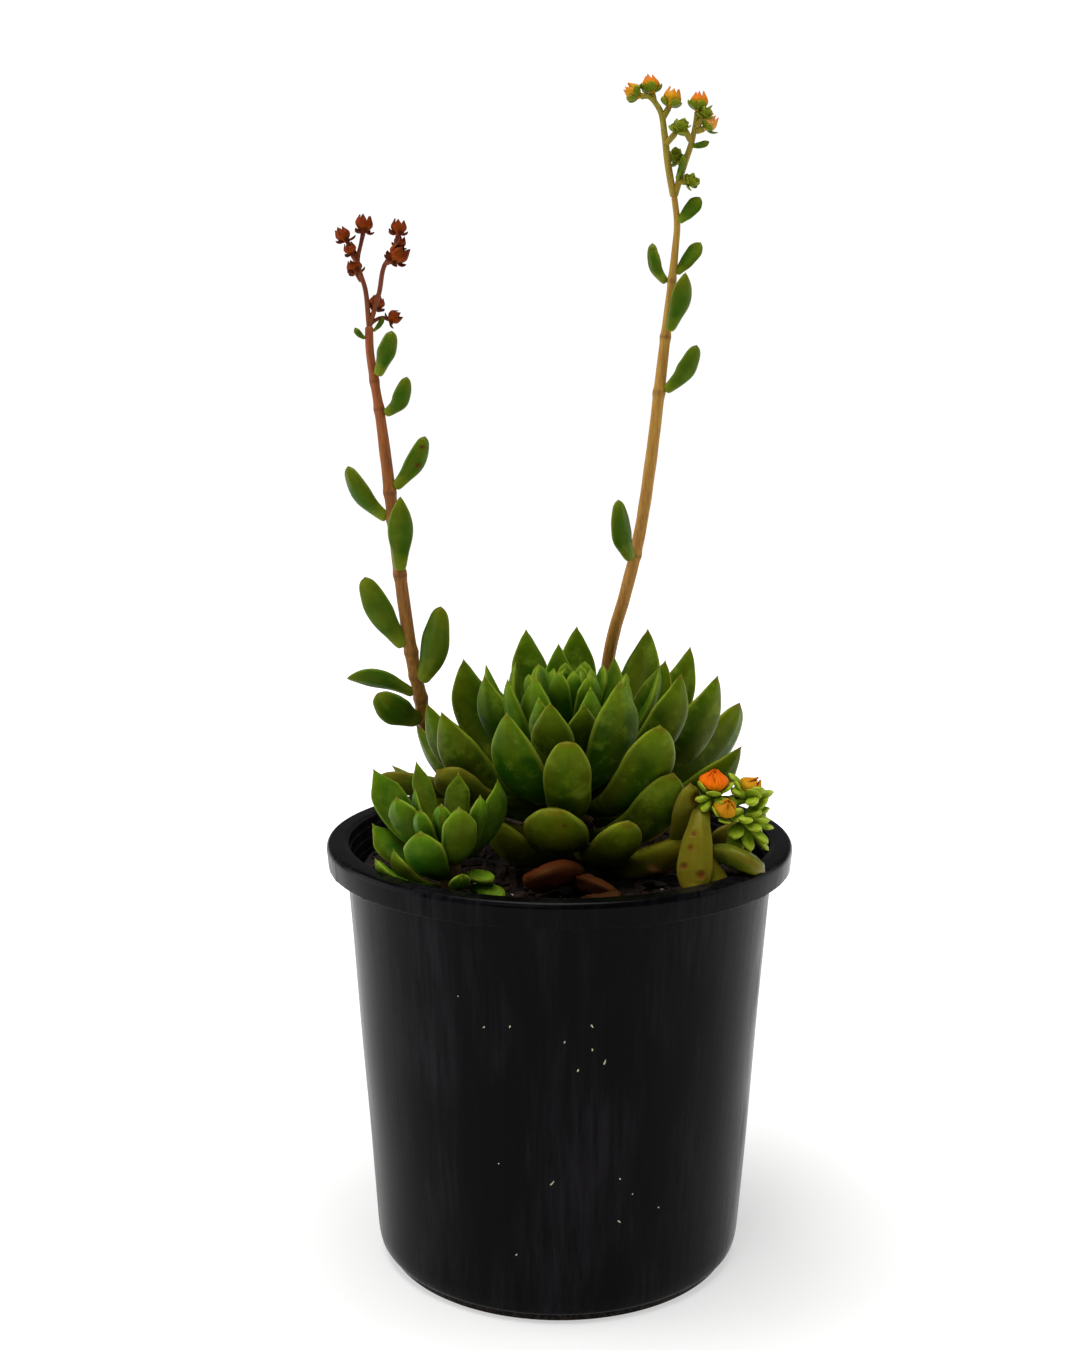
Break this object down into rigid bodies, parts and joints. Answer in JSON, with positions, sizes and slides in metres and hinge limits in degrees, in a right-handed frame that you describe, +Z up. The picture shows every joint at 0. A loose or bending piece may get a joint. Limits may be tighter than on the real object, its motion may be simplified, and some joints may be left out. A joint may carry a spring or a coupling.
{
  "type": "potted succulent",
  "caption": "Leafy rosette succulent with an offset and tall flower stalks, standing in a round tapered plastic nursery pot filled with bark potting mix.",
  "frame": {"origin": "centre of the pot's underside, on the surface that the pot stands on", "axes": "+Z up along the pot's axis; -Y is the front, where the small offset rosette sits to the left; +X is the side of the taller flower stalk"},
  "size_m": [0.14, 0.14, 0.3535],
  "materials": {
    "black_plastic": "moulded black polypropylene, satin to glossy, scuffed, with faint upright flow marks",
    "potting_mix": "damp dark composted bark with brown chips, matt",
    "leaf": "fleshy mid green leaf skin with a soft waxy shine and yellow-green edges",
    "young_leaf": "fleshy bright green leaf skin, waxy, with pale edges",
    "stalk_leaf": "thin fleshy olive green leaf skin, satin",
    "stalk": "tan to pinkish brown woody stalk skin, matt",
    "dried_flower": "dry crumpled red-brown petals, matt",
    "flower_bud": "orange to yellow bud petals in green sepals, waxy"
  },
  "bodies": {
    "root": {"crown_bud": "leaf", "leaf_back": "leaf", "leaf_back_left": "leaf", "leaf_back_right": "leaf", "leaf_front_inner": "leaf", "leaf_front_left": "leaf", "leaf_front_low_left": "leaf", "leaf_front_low_right": "leaf", "leaf_front_middle": "leaf", "leaf_front_right": "leaf", "leaf_front_right_short": "leaf", "leaf_front_round": "leaf", "leaf_front_scarred": "leaf", "leaf_front_tall": "leaf", "leaf_front_upper": "leaf", "leaf_left_front": "leaf", "leaf_left_inner": "leaf", "leaf_left_low": "leaf", "leaf_left_middle": "leaf", "leaf_left_spreading": "leaf", "leaf_left_upper": "leaf", "leaf_right_back_upper": "leaf", "leaf_right_broad": "leaf", "leaf_right_front_upper": "leaf", "leaf_right_low": "leaf", "leaf_right_tall": "leaf", "leaf_right_upper": "leaf", "left_flower_stalk": "stalk", "left_seed_head": "dried_flower", "left_stalk_leaf_1": "stalk_leaf", "left_stalk_leaf_2": "stalk_leaf", "left_stalk_leaf_3": "stalk_leaf", "left_stalk_leaf_4": "stalk_leaf", "left_stalk_leaf_5": "stalk_leaf", "left_stalk_leaf_6": "stalk_leaf", "left_stalk_leaf_7": "stalk_leaf", "left_stalk_leaf_8": "stalk_leaf", "left_stalk_leaf_9": "stalk_leaf", "main_stem": "stalk", "offset_leaf_back": "young_leaf", "offset_leaf_back_left": "young_leaf", "offset_leaf_back_slender": "young_leaf", "offset_leaf_front": "young_leaf", "offset_leaf_front_left": "young_leaf", "offset_leaf_left": "young_leaf", "offset_leaf_left_low": "young_leaf", "offset_leaf_right": "young_leaf", "offset_leaf_slender": "young_leaf", "offset_leaf_upright": "young_leaf", "offset_stem": "stalk", "pot": "black_plastic", "potting_mix": "potting_mix", "right_flower_head": "flower_bud", "right_flower_stalk": "stalk", "right_stalk_leaf_1": "stalk_leaf", "right_stalk_leaf_2": "stalk_leaf", "right_stalk_leaf_3": "stalk_leaf", "right_stalk_leaf_4": "stalk_leaf", "short_flower_head": "flower_bud"}
  },
  "joints": []
}
